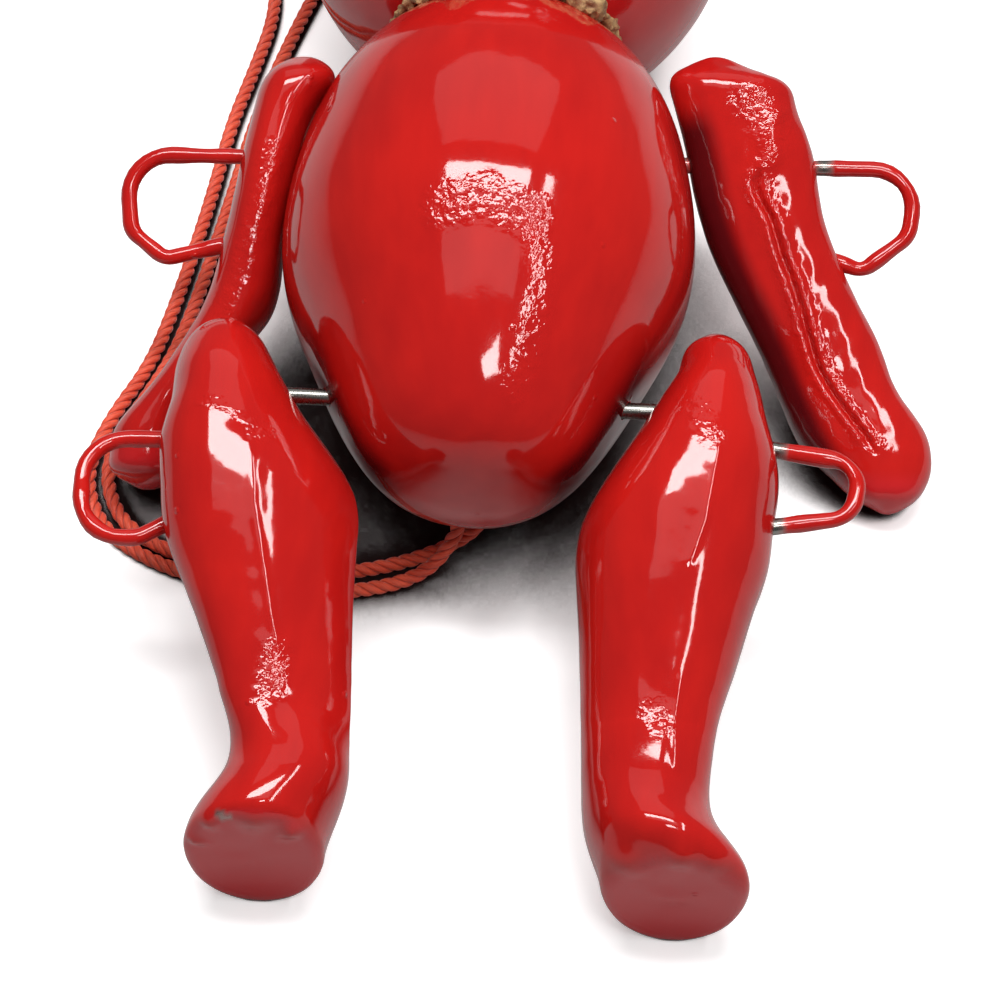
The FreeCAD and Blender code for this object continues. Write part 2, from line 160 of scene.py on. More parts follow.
def spline(at, knots, values):
    """A natural cubic spline through (knots, values), read at every number of at, as one array."""
    knots, values = np.asarray(knots, float), np.asarray(values, float)
    gap = np.diff(knots)
    slope = np.diff(values) / gap
    size = len(knots)
    system = np.eye(size)
    right = np.zeros(size)
    for n in range(1, size - 1):
        system[n, n - 1:n + 2] = gap[n - 1], 2 * (gap[n - 1] + gap[n]), gap[n]
        right[n] = 6 * (slope[n] - slope[n - 1])
    bend = np.linalg.solve(system, right)
    n = np.clip(np.searchsorted(knots, at) - 1, 0, size - 2)
    before, after = at - knots[n], knots[n + 1] - at
    return (bend[n] * after ** 3 + bend[n + 1] * before ** 3) / (6 * gap[n]) \
        + (values[n] / gap[n] - bend[n] * gap[n] / 6) * after \
        + (values[n + 1] / gap[n] - bend[n + 1] * gap[n] / 6) * before


def smooth(low, high, value):
    """0 below low, 1 above high and an S-curve between them."""
    t = np.clip((value - low) / (high - low), 0, 1)
    return t * t * (3 - 2 * t)


def hump(value, width):
    """1 where the value is 0, and less away from it, as a bell curve: exp(-(value / width) squared)."""
    return np.exp(-(value / width) ** 2)


def full_turn(count):
    """Angles all the way round in equal steps."""
    return np.linspace(0, 2 * math.pi, count, endpoint=False)


def unit(vectors):
    """The vectors, each one long."""
    return vectors / np.linalg.norm(vectors, axis=-1, keepdims=True)


def placed(points):
    """Points in millimetres about the body's middle, moved to the frame of the solids."""
    return (points + MIDDLE) * MM


def waves(points, size, seed, count=20, stretch=(1, 1, 1)):
    """The mean of many plane sine waves of about one wavelength, in random directions, at each point."""
    rng = np.random.default_rng(seed)
    direction = unit(rng.normal(size=(count, 3)))
    rate = 2 * math.pi / (size * rng.uniform(0.7, 1.5, count))
    phase = rng.uniform(0, 2 * math.pi, count)
    turn = (points / np.asarray(stretch, float)) @ (direction * rate[:, None]).T + phase
    return np.sin(turn).sum(-1) / math.sqrt(count / 2)


def near_line(points, line):
    """The distance of every point to a run of straight pieces between the line's points."""
    line = np.asarray(line, float)
    best = np.full(points.shape[:-1], np.inf)
    for a, b in zip(line, line[1:]):
        run = b - a
        t = np.clip(((points - a) @ run) / (run @ run), 0, 1)
        best = np.minimum(best, np.linalg.norm(points - a - t[..., None] * run, axis=-1))
    return best


def beside_line(out, down, line):
    """The distance of points on a limb from a line drawn down it, which is given as (down, out) pairs."""
    line = np.array(line, float)
    aside = out - np.interp(down, line[:, 0], line[:, 1])
    beyond = np.maximum(line[0, 0] - down, 0) + np.maximum(down - line[-1, 0], 0)
    return np.hypot(aside, beyond)


def outward(rings):
    """Unit normals of a grid of rings, from the cross product of its two directions, turned to point away from
    the middle of each ring."""
    along = np.gradient(rings, axis=0)
    around = np.roll(rings, -1, axis=1) - np.roll(rings, 1, axis=1)
    normal = np.cross(around, along)
    normal = normal / (np.linalg.norm(normal, axis=-1)[..., None] + 1e-9)
    away = rings - rings.mean(axis=1, keepdims=True)
    return normal if (normal * away).sum() > 0 else -normal


def skewed(points):
    """Points turned about the shoulder with the hole that is drilled out of square."""
    c, s = math.cos(SKEW), math.sin(SKEW)
    x, y, z = points[..., 0], points[..., 1] - SHOULDER_Y, points[..., 2]
    return np.stack([x * c - y * s, x * s + y * c + SHOULDER_Y, z], axis=-1)


def limb_point(out, down, depth, axle_y, slope):
    """A limb's own measures turned into the doll's: down runs along the limb and depth towards the front."""
    c, s = math.cos(math.radians(slope)), math.sin(math.radians(slope))
    return np.stack(np.broadcast_arrays(out, axle_y - down * c - depth * s, depth * c - down * s), axis=-1)


def limb_sizes(sections, down):
    """Middle, half width, half depth and offset at each distance down the limb: cubic splines of the sections,
    the half sizes by way of their squares, so that an end that shrinks to nothing is round."""
    table = np.array([(*section, 0)[:5] for section in sections])
    first, last = table[0], table[-1]
    lead, tail = first[2] * 0.35, last[2] * 0.35
    knots = np.concatenate([[first[0] - lead], table[:, 0], [last[0] + tail]])
    ends = [np.concatenate([[first[n]], table[:, n], [last[n]]]) for n in (1, 4)]
    squares = [np.concatenate([[0], table[:, n] ** 2, [0]]) for n in (2, 3)]
    middle, offset = [spline(down, knots, v) for v in ends]
    half_width, half_depth = [np.sqrt(np.maximum(spline(down, knots, v), 0)) for v in squares]
    return middle, half_width, half_depth, offset, knots[0], knots[-1]


def oval(sections, side, down, turn, boxy=2.0):
    """Points of the limb's skin: x = middle + half width * cos, depth = offset + half depth * sin, with both
    raised to 2 / boxy, so that 2 is an ellipse and more is a rounded box."""
    middle, half_width, half_depth, offset = limb_sizes(sections, down)[:4]
    c, s = np.cos(turn), np.sin(turn)
    c = np.sign(c) * np.abs(c) ** (2 / boxy)
    s = np.sign(s) * np.abs(s) ** (2 / boxy)
    return side * middle + half_width * c, offset + half_depth * s


def rows_down(sections, count):
    """Distances down the limb, closer together at its two ends."""
    first, last = limb_sizes(sections, np.zeros(1))[4:]
    t = (1 - np.cos(np.linspace(0.015, 1, count) * math.pi * 0.985)) / 2
    return first + (last - first) * t


class Skin:
    """A closed skin in the making: rings of points with a point at each end, and values at every point."""

    def __init__(self, name, rings):
        self.name = name
        self.rings = rings
        self.layers = {}

    def lift(self, height):
        self.rings = self.rings + outward(self.rings) * height[..., None]

    def layer(self, name, value):
        self.layers[name] = np.clip(value, 0, 1)

    def mesh(self):
        rows, around = self.rings.shape[:2]
        ends = np.stack([self.rings[0].mean(0), self.rings[-1].mean(0)])
        points = placed(np.concatenate([self.rings.reshape(-1, 3), ends]))
        index = grid(rows, around)
        beside = np.roll(index, -1, axis=1)
        top = np.stack([np.full(around, rows * around), beside[0], index[0]], axis=-1)
        base = np.stack([np.full(around, rows * around + 1), index[-1], beside[-1]], axis=-1)
        made = smooth_mesh(self.name, points, quads(index) + top.tolist() + base.tolist())
        for name, value in self.layers.items():
            write_layer(made, name, np.concatenate([value.reshape(-1), [value[0].mean(), value[-1].mean()]]))
        made.update()
        return made


def grid(rows, around):
    """The numbers of the points in a grid of rings."""
    return np.arange(rows * around).reshape(rows, around)


def quads(index):
    """Faces between each ring of a grid and the next, all the way round."""
    beside = np.roll(index, -1, axis=1)
    return np.stack([index[:-1], beside[:-1], beside[1:], index[1:]], axis=-1).reshape(-1, 4).tolist()


def smooth_mesh(name, points, faces):
    """A mesh with smooth shading, whose faces are turned to look outward."""
    if volume(points, faces) < 0:
        faces = [face[::-1] for face in faces]
    made = bpy.data.meshes.new(name)
    made.from_pydata(points.tolist(), [], faces)
    made.polygons.foreach_set("use_smooth", np.ones(len(made.polygons), bool))
    return made


def write_layer(mesh, name, values):
    """Writes one number for each point of a mesh, for its material to read."""
    mesh.attributes.new(name, "FLOAT", "POINT").data.foreach_set("value", values.astype(np.float32))


def write_uv(mesh, places):
    """Writes the layer that the cord's fibres follow, from one (round, along) for each point of a mesh."""
    corner = np.zeros(len(mesh.loops), int)
    mesh.loops.foreach_get("vertex_index", corner)
    mesh.uv_layers.new(name="along").data.foreach_set("uv", places[corner].ravel())


def points_of(mesh):
    """The points of a mesh as rows."""
    points = np.zeros(len(mesh.vertices) * 3)
    mesh.vertices.foreach_get("co", points)
    return points.reshape(-1, 3)


def volume(points, faces):
    """The signed volume inside the faces, by the sum of their tetrahedra from the origin."""
    corners = np.array([face[:3] for face in faces]
                       + [[face[0], face[2], face[3]] for face in faces if len(face) == 4])
    a, b, c = points[corners[:, 0]], points[corners[:, 1]], points[corners[:, 2]]
    return (a * np.cross(b, c)).sum()


def linked(name, data):
    """A new object in the scene."""
    made = bpy.data.objects.new(name, data)
    bpy.context.scene.collection.objects.link(made)
    return made


def shown(name, mesh, material, body, node):
    """Puts a mesh in the scene in place of its solid, on the body that carries it."""
    piece = linked(name, mesh)
    mesh.materials.append(material)
    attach(piece, body)
    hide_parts(node)
    return piece


def lathe(name, profile, steps, around=256):
    """An outline of (radius, along Y) turned about Y: a cubic spline through its points by their distance along
    it, one ring at each step."""
    profile = np.array(profile, float)
    length = np.concatenate([[0], np.cumsum(np.linalg.norm(np.diff(profile, axis=0), axis=1))])
    at = steps * length[-1]
    radius = np.maximum(spline(at, length, profile[:, 0]), 0)
    along = spline(at, length, profile[:, 1])
    turn = full_turn(around)
    x = radius[:, None] * np.cos(turn)
    z = radius[:, None] * np.sin(turn)
    return Skin(name, np.stack([x, np.broadcast_to(along[:, None], x.shape), z], axis=-1))


def run_path(corners, radii, per_arc=9, step=0.6):
    """Points along straight runs that are joined by arcs of the given radii."""
    corners = [np.asarray(c, float) for c in corners]
    points = [corners[0]]
    for before, corner, after, radius in zip(corners, corners[1:], corners[2:], radii):
        back, on = unit(before - corner), unit(after - corner)
        half = (math.pi - math.acos(np.clip(back @ on, -1, 1))) / 2
        centre = corner + unit(back + on) * radius / math.cos(half)
        side, across = unit(corner - centre), unit(on - back)
        turn = np.linspace(-half, half, per_arc)[:, None]
        arc = centre + radius * (np.cos(turn) * side + np.sin(turn) * across)
        points += straight(points[-1], arc[0], step) + list(arc)
    points += straight(points[-1], corners[-1], step) + [corners[-1]]
    return np.array(points)


def straight(start, end, step):
    """Points between two ends, without the ends."""
    count = int(np.linalg.norm(end - start) / step)
    return [start + (end - start) * n / (count + 1) for n in range(1, count + 1)]


def square_to(path, facing):
    """Two directions square to a path at each point. The first is on the side that faces one fixed direction, so
    that rings round the path don't turn against each other."""
    tangent = unit(np.gradient(path, axis=0))
    first = unit(np.array(facing) - (tangent @ np.array(facing))[:, None] * tangent)
    return first, np.cross(tangent, first)


def tube_rings(path, radius, around=24, facing=(0.30, 0.52, -0.80)):
    """A round tube along a path: each ring lies square to it."""
    first, second = square_to(path, facing)
    turn = full_turn(around)
    radius = np.broadcast_to(np.asarray(radius, float), (len(path),))
    return path[:, None] + radius[:, None, None] * spokes(turn, first, second)


def spokes(turn, first, second):
    """At each point of a path, the directions first * cos + second * sin for every angle."""
    return np.cos(turn)[None, :, None] * first[:, None] + np.sin(turn)[None, :, None] * second[:, None]


# ---------------------------------------------------------------- shader sums

class Sum:
    """A socket that can be added to and multiplied like a number."""

    def __init__(self, graph, socket):
        self.graph, self.socket = graph, socket

    def _do(self, operation, left, right):
        return self.graph.node("ShaderNodeMath", {"operation": operation}, {0: left, 1: right})

    def __add__(self, other):
        return self._do("ADD", self, other)

    def __mul__(self, other):
        return self._do("MULTIPLY", self, other)

    __radd__ = __add__
    __rmul__ = __mul__


class Graph:
    """The node tree of one material or world."""

    def __init__(self, tree):
        self.tree = tree
        tree.nodes.clear()

    def node(self, kind, settings=None, inputs=None, output=0):
        """Adds a node, with its settings and what goes into its sockets, and gives back one of its outputs."""
        made = self.tree.nodes.new(kind)
        for name, value in (settings or {}).items():
            setattr(made, name, value)
        for name, value in (inputs or {}).items():
            socket = made.inputs[name]
            if isinstance(value, Sum):
                self.tree.links.new(value.socket, socket)
            else:
                socket.default_value = value
        return Sum(self, made.outputs[output]) if made.outputs else made

    def place(self, scale=(1, 1, 1)):
        where = self.node("ShaderNodeTexCoord", output="Object")
        return self.node("ShaderNodeMapping", {"vector_type": "POINT"}, {"Vector": where, "Scale": scale})

    def noise(self, scale, detail=2.0, stretch=(1, 1, 1), roughness=0.5):
        return self.node("ShaderNodeTexNoise", None, {
            "Vector": self.place(stretch), "Scale": scale, "Detail": detail, "Roughness": roughness})

    def step(self, value, low, high, bottom=0.0, top=1.0):
        return self.node("ShaderNodeMapRange", {"interpolation_type": "SMOOTHSTEP"}, {
            "Value": value, "From Min": low, "From Max": high, "To Min": bottom, "To Max": top})

    def layer(self, name):
        return self.node("ShaderNodeAttribute", {"attribute_name": name}, output="Fac")

    def mix(self, factor, first, second):
        return self.node("ShaderNodeMix", {"data_type": "RGBA"}, {
            "Factor": factor, 6: first, 7: second}, output=2)

    def bump(self, height):
        return self.node("ShaderNodeBump", None, {"Strength": 1.0, "Distance": 1.0, "Height": height})

    def surface(self, **inputs):
        named = {name.replace("_", " "): value for name, value in inputs.items()}
        shader = self.node("ShaderNodeBsdfPrincipled", None, named)
        self.node("ShaderNodeOutputMaterial", None, {"Surface": shader})
        return shader


def new_graph(name):
    material = bpy.data.materials.new(name)
    material.use_nodes = True
    return material, Graph(material.node_tree)


def rgba(colour):
    return (*colour, 1.0)


def lacquer(name, settings):
    """Thick brushed lacquer: two reds in brush streaks, runs and pimples in the film, wrinkles where it dried
    rough, painted shade where it faces a narrow gap, a less glossy red on the sawn ends that is partly painted light,
    and bare grey metal or chips where it is missing."""
    material, g = new_graph(name)
    broad = g.noise(70, 2)
    brush = g.noise(420, 3, (1, 0.16, 1))
    film = g.noise(520, 2)
    wrinkle = g.noise(1000, 2, roughness=0.5)
    fine = g.noise(2600, 3, roughness=0.7)
    grain, dull_and_painted_light, shade, bare = (g.layer(layer) for layer in ("grain", "dull_and_painted_light", "shade", "bare"))
    cells, chosen = (g.node("ShaderNodeTexVoronoi", {"feature": "F1"}, {"Vector": g.place(), "Scale": 330.0}, output)
                     for output in ("Distance", "Color"))
    draw = g.node("ShaderNodeSeparateColor", None, {"Color": chosen})
    pimple = g.step(cells, 0.16, 0.02) * g.step(draw, 0.90, 0.93)
    colour = g.mix(g.step(broad * 0.6 + brush * 0.4, 0.30, 0.70), rgba(settings.deep), rgba(settings.bright))
    # the sawn soles, the hands and the lower head take a less glossy red: partly a rougher finish, partly painted
    # light, lighter and more purple than the rest because these faces turn away from the lamps
    colour = g.mix(dull_and_painted_light, colour, rgba(settings.dull_and_painted_light))
    # painted shade: the colour turns near black where the lacquer faces a narrow gap
    colour = g.mix(shade, colour, rgba(settings.shade))
    steel = g.mix(g.noise(1500, 3, (0.2, 1, 1)), (0.10, 0.10, 0.09, 1), (0.42, 0.41, 0.38, 1))
    colour = g.mix(bare, colour, steel)
    roughness = g.step(fine, 0.3, 0.7, 0.05, 0.09) + dull_and_painted_light * 0.08 + bare * 0.2
    height = film * 0.000012 + brush * 0.000008 + pimple * 0.00010 + fine * 0.0000008 \
        + g.step(wrinkle, 0.3, 0.7) * grain * 0.00007
    g.surface(Base_Color=colour, Roughness=roughness, Metallic=bare, IOR=1.5, Normal=g.bump(height))
    return material


def cord_material(settings):
    """Twisted strands: fibres run along each strand's own length, and each strand is darker on its inner side, in the
    grooves.
    """
    material, g = new_graph("twisted cord")
    where = g.node("ShaderNodeUVMap", {"uv_map": "along"})
    fibre = g.node("ShaderNodeTexNoise", None, {
        "Vector": g.node("ShaderNodeMapping", None, {"Vector": where, "Scale": (9.0, 0.8, 1.0)}),
        "Scale": 1.0, "Detail": 3.0})
    patch = g.noise(250, 3)
    groove = g.layer("groove")
    colour = g.mix(g.step(fibre * 0.7 + patch * 0.3, 0.35, 0.66), rgba(settings.cord_deep), rgba(settings.cord))
    # each strand turns darker on its side towards the cord's line
    colour = g.mix(groove, colour, rgba(settings.cord_groove))
    g.surface(Base_Color=colour, Roughness=g.step(fibre, 0.3, 0.7, 0.42, 0.62), Sheen_Weight=0.25,
              Sheen_Roughness=0.4, Normal=g.bump(fibre * 0.00006))
    return material


def glue_material(settings):
    """Dried glue with sawdust in it."""
    material, g = new_graph("dried glue")
    lump = g.noise(900, 4, roughness=0.75)
    shred = g.noise(1400, 3, (0.25, 1, 1))
    colour = g.mix(g.step(lump * 0.6 + shred * 0.4, 0.38, 0.62), rgba(settings.glue_deep), rgba(settings.glue))
    g.surface(Base_Color=colour, Roughness=g.step(lump, 0.3, 0.7, 0.55, 0.8),
              Normal=g.bump(lump * 0.0003 + shred * 0.0001))
    return material


def wood_material():
    """Bare turned wood: long grain along Y."""
    material, g = new_graph("bare wood")
    grain = g.noise(700, 4, (1, 0.08, 1))
    colour = g.mix(grain, (0.36, 0.21, 0.10, 1), (0.66, 0.47, 0.28, 1))
    g.surface(Base_Color=colour, Roughness=g.step(grain, 0.2, 0.8, 0.5, 0.7), Normal=g.bump(grain * 0.00005))
    return material


# ---------------------------------------------------------------- settings

def colour_of(name, description, value):
    return bpy.props.FloatVectorProperty(
        name=name, description=description, subtype="COLOR", size=3, min=0, max=1, default=value)


class JumpingJackLacquer(bpy.types.PropertyGroup):
    deep: colour_of("Deep red", "Lacquer where it lies thick", (0.43, 0.008, 0.007))
    bright: colour_of("Bright red", "Lacquer where it lies thin", (0.53, 0.011, 0.008))
    # partly painted light: the sawn ends get a lighter, more purple red than the lacquer, for faces that turn away
    # from the lamps
    dull_and_painted_light: colour_of("Dull red", "Lacquer on the sawn soles and hands", (0.56, 0.016, 0.020))
    # painted shade, laid where the lacquer faces a narrow gap
    shade: colour_of("Shaded red", "Lacquer that faces a narrow gap", (0.05, 0.003, 0.005))


class JumpingJackTrim(bpy.types.PropertyGroup):
    cord: colour_of("Cord", "Top of the twisted strands", (0.92, 0.125, 0.055))
    cord_deep: colour_of("Cord fibres", "Darker fibres of the strands", (0.72, 0.065, 0.028))
    cord_groove: colour_of("Cord grooves", "Between the strands", (0.22, 0.010, 0.006))
    glue: colour_of("Glue", "Sawdust in the glue line", (0.50, 0.32, 0.14))
    glue_deep: colour_of("Glue shade", "Glue between the dust", (0.24, 0.10, 0.045))


class JumpingJackStudio(bpy.types.PropertyGroup):
    lift: bpy.props.FloatProperty(
        name="Camera height", description="Angle of the camera above the table", default=55.0, min=1, max=89)
    swing: bpy.props.FloatProperty(
        name="Camera swing", description="Angle of the camera round the doll from its feet", default=4.0)
    roll: bpy.props.FloatProperty(name="Camera roll", description="Tilt of the picture", default=-0.6)
    distance: bpy.props.FloatProperty(
        name="Camera distance", description="Camera to the middle of the body", default=0.4, unit="LENGTH")
    lamp: bpy.props.FloatProperty(name="Lamp power", description="Power of the main lamp", default=2.1, min=0)


# ---------------------------------------------------------------- operators

class JumpingJackStage(bpy.types.Operator):
    """Sets the camera, the lamps, the pale floor and the white surroundings"""
    bl_idname = "jumping_jack.stage"
    bl_label = "Stage"

    def execute(self, context):
        studio = context.scene.jumping_jack_studio
        self.camera(context, studio)
        self.floor()
        self.world(context)
        for lamp in LAMPS:
            self.lamp(*lamp[:-1], studio.lamp * lamp[-1])
        context.scene.view_settings.view_transform = "Standard"
        return {"FINISHED"}

    def camera(self, context, studio):
        """The camera looks down at the body's middle, which it holds at its own pixel of the picture."""
        pixel = BODY_PIXEL[0] - 500, BODY_PIXEL[1] - 500
        lift, swing, roll = (math.radians(v) for v in (studio.lift, studio.swing, studio.roll))
        back = np.array([math.sin(swing) * math.cos(lift), -math.cos(swing) * math.cos(lift), math.sin(lift)])
        right, up = self.level(back)
        right, up = (math.cos(roll) * right + math.sin(roll) * up, math.cos(roll) * up - math.sin(roll) * right)
        lens = bpy.data.cameras.new("camera")
        lens.sensor_width = SENSOR
        lens.lens = CAMERA_FOCAL * SENSOR / 1000
        lens.clip_start = 0.01
        shift = pixel[0] / CAMERA_FOCAL * right - pixel[1] / CAMERA_FOCAL * up
        context.scene.camera = self.aimed("camera", lens, MIDDLE * MM - studio.distance * (shift - back),
                                          right, up, back)

    def lamp(self, name, swing, lift, distance, width, height, power):
        """A soft rectangular lamp that looks at the body; swing is its angle from the head towards +X."""
        swing, lift = math.radians(swing), math.radians(lift)
        way = np.array([math.sin(swing) * math.cos(lift), math.cos(swing) * math.cos(lift), math.sin(lift)])
        shape = bpy.data.lights.new(name, "AREA")
        shape.shape = "RECTANGLE"
        shape.size, shape.size_y = width, height
        shape.energy = power
        self.aimed(name, shape, MIDDLE * MM + way * distance, *self.level(way), way)

    def level(self, back):
        """Directions to the right, level with the table, and up, for something that looks against back."""
        right = unit(np.cross([0, 0, 1], back))
        return right, np.cross(back, right)

    def aimed(self, name, data, spot, right, up, back):
        """Puts a camera or a lamp at the spot, so that it looks against back."""
        made = linked(name, data)
        made.matrix_world = Matrix([(*row, place) for row, place in zip(np.array([right, up, back]).T, spot)]
                                   + [(0, 0, 0, 1)])
        return made

    def floor(self):
        """A wide flat sheet under the doll. The camera sees it white, with a glow of its own that is full white
        far from the doll, and painted shade makes it nearly black in the narrow gaps. To all other light it is a
        plain grey."""
        half = 1.5
        mesh = bpy.data.meshes.new("floor")
        mesh.from_pydata([(-half, -half, 0), (half, -half, 0), (half, half, 0), (-half, half, 0)], [],
                         [(0, 1, 2, 3)])
        material, g = new_graph("floor")
        seen = g.node("ShaderNodeLightPath", output="Is Camera Ray")
        pale, plain, dark = (g.node("ShaderNodeBsdfDiffuse", None, {"Color": colour}) for colour in (
            (0.9, 0.9, 0.9, 1), (0.5, 0.5, 0.5, 1), (0.02, 0.012, 0.012, 1)))
        open_sky = g.node("ShaderNodeAmbientOcclusion", {"samples": 48}, {"Distance": 0.03}, "AO")
        away = g.node("ShaderNodeVectorMath", {"operation": "LENGTH"},
                      {0: g.node("ShaderNodeTexCoord", output="Object")}, "Value")
        glow = g.node("ShaderNodeEmission", None, {"Color": g.step(away, 0.14, 0.45, 0.42, 1.0), "Strength": 1.0})
        lit = g.node("ShaderNodeAddShader", None, {0: pale, 1: glow})
        # painted shade: where little sky is open, the camera sees a near-black sheet
        floor = g.node("ShaderNodeMixShader", None, {0: g.step(open_sky, 0.30, 0.46), 1: dark, 2: lit})
        both = g.node("ShaderNodeMixShader", None, {0: seen, 1: plain, 2: floor})
        g.node("ShaderNodeOutputMaterial", None, {"Surface": both})
        mesh.materials.append(material)
        linked("floor", mesh)

    def world(self, context):
        world = bpy.data.worlds.new("surroundings")
        world.use_nodes = True
        context.scene.world = world
        g = Graph(world.node_tree)
        camera = g.node("ShaderNodeLightPath", output="Is Camera Ray")
        strength = camera * 0.88 + 0.12
        g.node("ShaderNodeOutputWorld", None, {"Surface": g.node(
            "ShaderNodeBackground", None, {"Color": (1, 1, 1, 1), "Strength": strength})})


class JumpingJackBody(bpy.types.Operator):
    """Makes the egg of the body with its slot and wire holes, the ball of the head and the glue between them"""
    bl_idname = "jumping_jack.body"
    bl_label = "Body and head"

    def execute(self, context):
        red = lacquer("lacquered body", context.scene.jumping_jack_lacquer)
        self.egg(red)
        self.ball(red)
        self.glue(context)
        return {"FINISHED"}

    def egg(self, red):
        """The turned outline spun about Y. The film's slow waves run along the grain."""
        skin = lathe("body", BODY, np.linspace(0.003, 1, 340))
        points = skin.rings
        skin.lift(0.022 * waves(points, 9, 1, stretch=(1, 2.2, 1))
                  + 0.006 * waves(points, 3, 2, stretch=(1, 3, 1)) - 2 * SUNK)
        neck = skin.rings[-1:] * [0.97, 1, 0.97] + [0, 0.12, 0]
        skin.rings = np.concatenate([skin.rings, neck, neck * [0.5, 1, 0.5]])
        points = skin.rings
        window = near_line(points, [(-4.2, -7.8, 19.8), (0.4, -6.9, 20.7), (5.1, -8.2, 19.3)])
        streak = near_line(points, [(5.1, -8.2, 19.3), (6.9, -12.9, 16.3), (6.0, -20.0, 13.2),
                                    (4.5, -24.7, 11.4)])
        skin.layer("grain", smooth(3.2, 1.6, window) + 0.6 * smooth(2.4, 0.8, streak))
        steep = points[..., 2] / (np.hypot(points[..., 0], points[..., 2]) + 1e-6)
        # painted shade on the body's lower flanks, where they face the legs
        skin.layer("shade", 0.9 * smooth(-10, -17, points[..., 1]) * smooth(0.42, 0.1, steep)
                   * smooth(-0.9, -0.5, steep) * smooth(6, 10, np.abs(points[..., 0])))
        self.cut(shown("body_lacquered", skin.mesh(), red, "torso", "body"))

    def cut(self, piece):
        """Cuts the slot and the wire holes with plain tool meshes, which are then thrown away."""
        for tool in (box_tool(*SLOT), bar_tool(HIP_Y, 0.0), bar_tool(SHOULDER_Y, SKEW)):
            cutter = linked("cutter", tool)
            step = piece.modifiers.new("cut", "BOOLEAN")
            step.operation, step.solver, step.object = "DIFFERENCE", "EXACT", cutter
            bpy.context.view_layer.update()
            done = bpy.data.meshes.new_from_object(piece.evaluated_get(bpy.context.evaluated_depsgraph_get()))
            piece.modifiers.clear()
            piece.data = done
            bpy.data.objects.remove(cutter)
        piece.data.set_sharp_from_angle(angle=math.radians(40))

    def ball(self, red):
        """A sphere about the head's middle, cut flat where it meets the neck: radius * cos, radius * sin."""
        low = math.asin((NECK_Y - HEAD_RISE) / HEAD_RADIUS)
        lat = np.linspace(low, math.pi / 2 - 0.004, 230)[:, None]
        turn = full_turn(256)
        rings = np.stack([HEAD_RADIUS * np.cos(lat) * np.cos(turn), HEAD_RISE + HEAD_RADIUS * np.sin(lat) + 0 * turn,
                          HEAD_UP + HEAD_RADIUS * np.cos(lat) * np.sin(turn)], axis=-1)
        skin = Skin("head", rings)
        skin.lift(0.02 * waves(rings, 9, 5, stretch=(1, 1.6, 1)) + 0.005 * waves(rings, 3, 6) - 0.04)
        foot = skin.rings[:1]
        middle = foot.mean(axis=1, keepdims=True)
        skin.rings = np.concatenate([middle + (foot - middle) * 0.5, skin.rings])
        points = skin.rings
        rough = near_line(points, [(8.0, 33.0, 16.5), (13.0, 34.5, 15.0)])
        skin.layer("grain", smooth(5.0, 2.0, rough) * 0.8)
        # a less glossy red on the lower head, partly painted light
        skin.layer("dull_and_painted_light", smooth(38.0, 30.0, points[..., 1]) * 0.45)
        shown("head_lacquered", skin.mesh(), red, "torso", "head")

    def glue(self, context):
        """A ring round the neck whose thickness and height wander, with two clumps of sawdust in front that lie
        on the body's shoulder."""
        turn = full_turn(400)
        front = smooth(-0.2, 0.9, np.sin(turn))
        spot = np.stack([np.cos(turn), 0 * turn, np.sin(turn)], axis=-1)
        large, small = hump(turn - 0.90, 0.24), hump(turn - 1.93, 0.12)
        clump = large + 0.75 * small + 0.35 * hump(turn - 1.5, 0.3)
        lump = waves(spot * 12, 3.0, 11)
        drop = 2.2 * large + 3.2 * small
        centre = 12.6 + 0.4 * front + 0.85 * drop + 0.15 * lump
        thick = 0.5 + front * (0.35 + 0.15 * waves(spot * 12, 1.6, 12)) + 0.8 * clump
        path = spot * centre[:, None] + [0, NECK_Y + 0.75, HEAD_UP / 2]
        path[:, 1] -= drop
        rings = path[:, None] + thick[:, None, None] * spokes(full_turn(28), spot, np.tile([0.0, 1.0, 0.0], (400, 1)))
        rings = rings + (0.16 * waves(rings, 0.9, 13))[..., None] * (rings - path[:, None]) / thick[:, None, None]
        shown("neck_glue_line", ring_mesh("glue", rings), glue_material(context.scene.jumping_jack_trim),
              "torso", "neck_glue")


def box_tool(low, high):
    """A box, for cutting."""
    low, high = np.array(low), np.array(high)
    corner = np.array([(x, y, z) for z in (0, 1) for y in (0, 1) for x in (0, 1)])
    points = placed(low + (high - low) * corner)
    mesh = bpy.data.meshes.new("tool")
    mesh.from_pydata(points.tolist(), [], [(0, 2, 3, 1), (4, 5, 7, 6), (0, 1, 5, 4), (2, 6, 7, 3), (0, 4, 6, 2),
                                           (1, 3, 7, 5)])
    return mesh


def bar_tool(along, turned):
    """A round bar through the body at one Y, for cutting."""
    reach = np.array([math.cos(turned), math.sin(turned), 0]) * 30
    path = np.array([[0, along, 0] - reach, [0, along, 0], [0, along, 0] + reach])
    return Skin("tool", tube_rings(path, WIRE_RADIUS + PLAY)).mesh()


def ring_mesh(name, rings):
    """Rings of points joined in quads both ways, as a ring is."""
    index = grid(*rings.shape[:2])
    return smooth_mesh(name, placed(rings.reshape(-1, 3)), quads(np.concatenate([index, index[:1]])))


